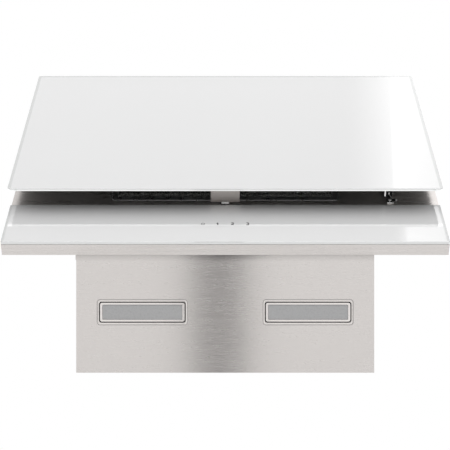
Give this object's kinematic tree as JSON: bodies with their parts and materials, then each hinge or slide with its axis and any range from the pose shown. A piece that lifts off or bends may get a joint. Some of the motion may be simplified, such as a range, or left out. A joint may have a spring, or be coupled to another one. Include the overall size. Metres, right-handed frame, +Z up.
{
  "type": "range hood",
  "caption": "Inclined wall range hood with a hinged white glass flap, perimeter air gap, touch keys, two lamps below and a round duct collar on top.",
  "frame": {"origin": "centre of the four wall holes, on the wall plane at the back panel", "axes": "+Z up, +Y into the wall, +X to the right as seen from the room"},
  "size_m": [0.598, 0.4372, 0.3651],
  "materials": {
    "stainless": "horizontally brushed stainless steel",
    "galvanised": "zinc coated sheet, dull",
    "white_glass": "toughened glass, painted white on the back, high gloss",
    "black_foam": "black foam or rubber",
    "circuit_board": "green laminate with parts",
    "sensor_foam": "conductive grey foam",
    "black_plastic": "fine grained moulding",
    "grey_plastic": "fine grained moulding",
    "white_plastic": "smooth moulding",
    "zinc_steel": "bright zinc plated steel",
    "lamp_diffuser": "frosted grey-white diffuser",
    "filter_aluminium": "layered expanded mesh",
    "black_paint": "black painted steel",
    "cable_pvc": "black cable sheath"
  },
  "bodies": {
    "hood": {"tray_shell": "stainless", "lower_trim": "stainless", "tray_back_plate": "galvanised", "filter_seat": "stainless", "control_glass": "white_glass", "glass_bond_strips": "black_foam", "touch_board": "circuit_board", "touch_sensor_pads": "sensor_foam", "body_shell": "stainless", "back_panel": "galvanised", "top_panel": "galvanised", "outlet_collar": "black_plastic", "damper_pin": "zinc_steel", "scroll_half_left": "black_plastic", "scroll_half_right": "black_plastic", "inlet_rings": "grey_plastic", "motor": "galvanised", "motor_spider": "galvanised", "capacitor": "white_plastic", "capacitor_clip": "galvanised", "control_box": "black_plastic", "control_box_lid": "black_plastic", "power_board": "circuit_board", "terminal_block": "white_plastic", "led_driver": "white_plastic", "cable_gland": "black_plastic", "wiring_harness": "cable_pvc", "hanger_brackets": "galvanised", "hanger_screws": "zinc_steel", "lamp_bezel_left": "stainless", "lamp_bezel_right": "stainless", "lamp_lens_left": "lamp_diffuser", "lamp_lens_right": "lamp_diffuser", "led_boards": "white_plastic", "lamp_housings": "black_plastic", "filter_frame": "filter_aluminium", "filter_mesh": "filter_aluminium", "filter_latch_spring": "zinc_steel", "hinge_bases": "stainless", "hinge_pins": "zinc_steel", "catch_housing": "black_plastic", "catch_spring": "zinc_steel", "stay_bracket": "zinc_steel", "stay_rest": "black_foam", "stay_tray_pin": "zinc_steel", "screws": "zinc_steel"},
    "flap": {"flap_glass": "white_glass", "hinge_leaves": "stainless", "catch_bracket": "stainless", "stay_rail": "stainless", "stay_flap_pin": "zinc_steel"},
    "stay_lower": {"stay_lower_link": "black_paint", "stay_elbow_pin": "zinc_steel"},
    "stay_upper": {"stay_upper_link": "black_paint"},
    "push_catch": {"catch_plunger": "zinc_steel"},
    "filter_latch": {"filter_latch": "black_plastic"},
    "blower_wheel": {"impeller": "grey_plastic", "motor_shaft": "zinc_steel"},
    "damper_front": {"nonreturn_flap_front": "grey_plastic"},
    "damper_rear": {"nonreturn_flap_rear": "grey_plastic"}
  },
  "joints": [
    {"name": "flap_hinge", "type": "hinge", "parent": "hood", "child": "flap", "pos_m": [0, -0.4113, 0.16726], "axis": [-1, 0, 0], "range_deg": [0, 75]},
    {"name": "stay_lower_pivot", "type": "hinge", "parent": "hood", "child": "stay_lower", "pos_m": [0.2228, -0.32698, 0.0432], "axis": [-1, 0, 0], "range_deg": [0, 75]},
    {"name": "stay_upper_pivot", "type": "hinge", "parent": "flap", "child": "stay_upper", "pos_m": [0.2228, -0.32698, 0.0432], "axis": [-1, 0, 0], "range_deg": [-75, 0]},
    {"name": "push_catch_travel", "type": "slide", "parent": "hood", "child": "push_catch", "axis": [0, 0.8271, 0.5621], "range_m": [0, 0.0025], "stiffness_N_per_m": 300, "springref_m": -0.002, "deforming": ["catch_spring"]},
    {"name": "filter_latch_travel", "type": "slide", "parent": "hood", "child": "filter_latch", "axis": [0, -0.5621, 0.8271], "range_m": [0, 0.004], "stiffness_N_per_m": 250, "springref_m": -0.003, "deforming": ["filter_latch_spring"]},
    {"name": "blower_spin", "type": "hinge", "parent": "hood", "child": "blower_wheel", "pos_m": [0, -0.135, -0.005], "axis": [1, 0, 0], "continuous": true},
    {"name": "damper_front_swing", "type": "hinge", "parent": "hood", "child": "damper_front", "pos_m": [0, -0.089, 0.175], "axis": [-1, 0, 0], "range_deg": [0, 80]},
    {"name": "damper_rear_swing", "type": "hinge", "parent": "hood", "child": "damper_rear", "pos_m": [0, -0.089, 0.175], "axis": [1, 0, 0], "range_deg": [0, 80]}
  ],
  "couplings": [
    {"joint": "stay_lower_pivot", "follows": "flap_hinge", "ratio": 1},
    {"joint": "stay_upper_pivot", "follows": "flap_hinge", "ratio": -1}
  ]
}
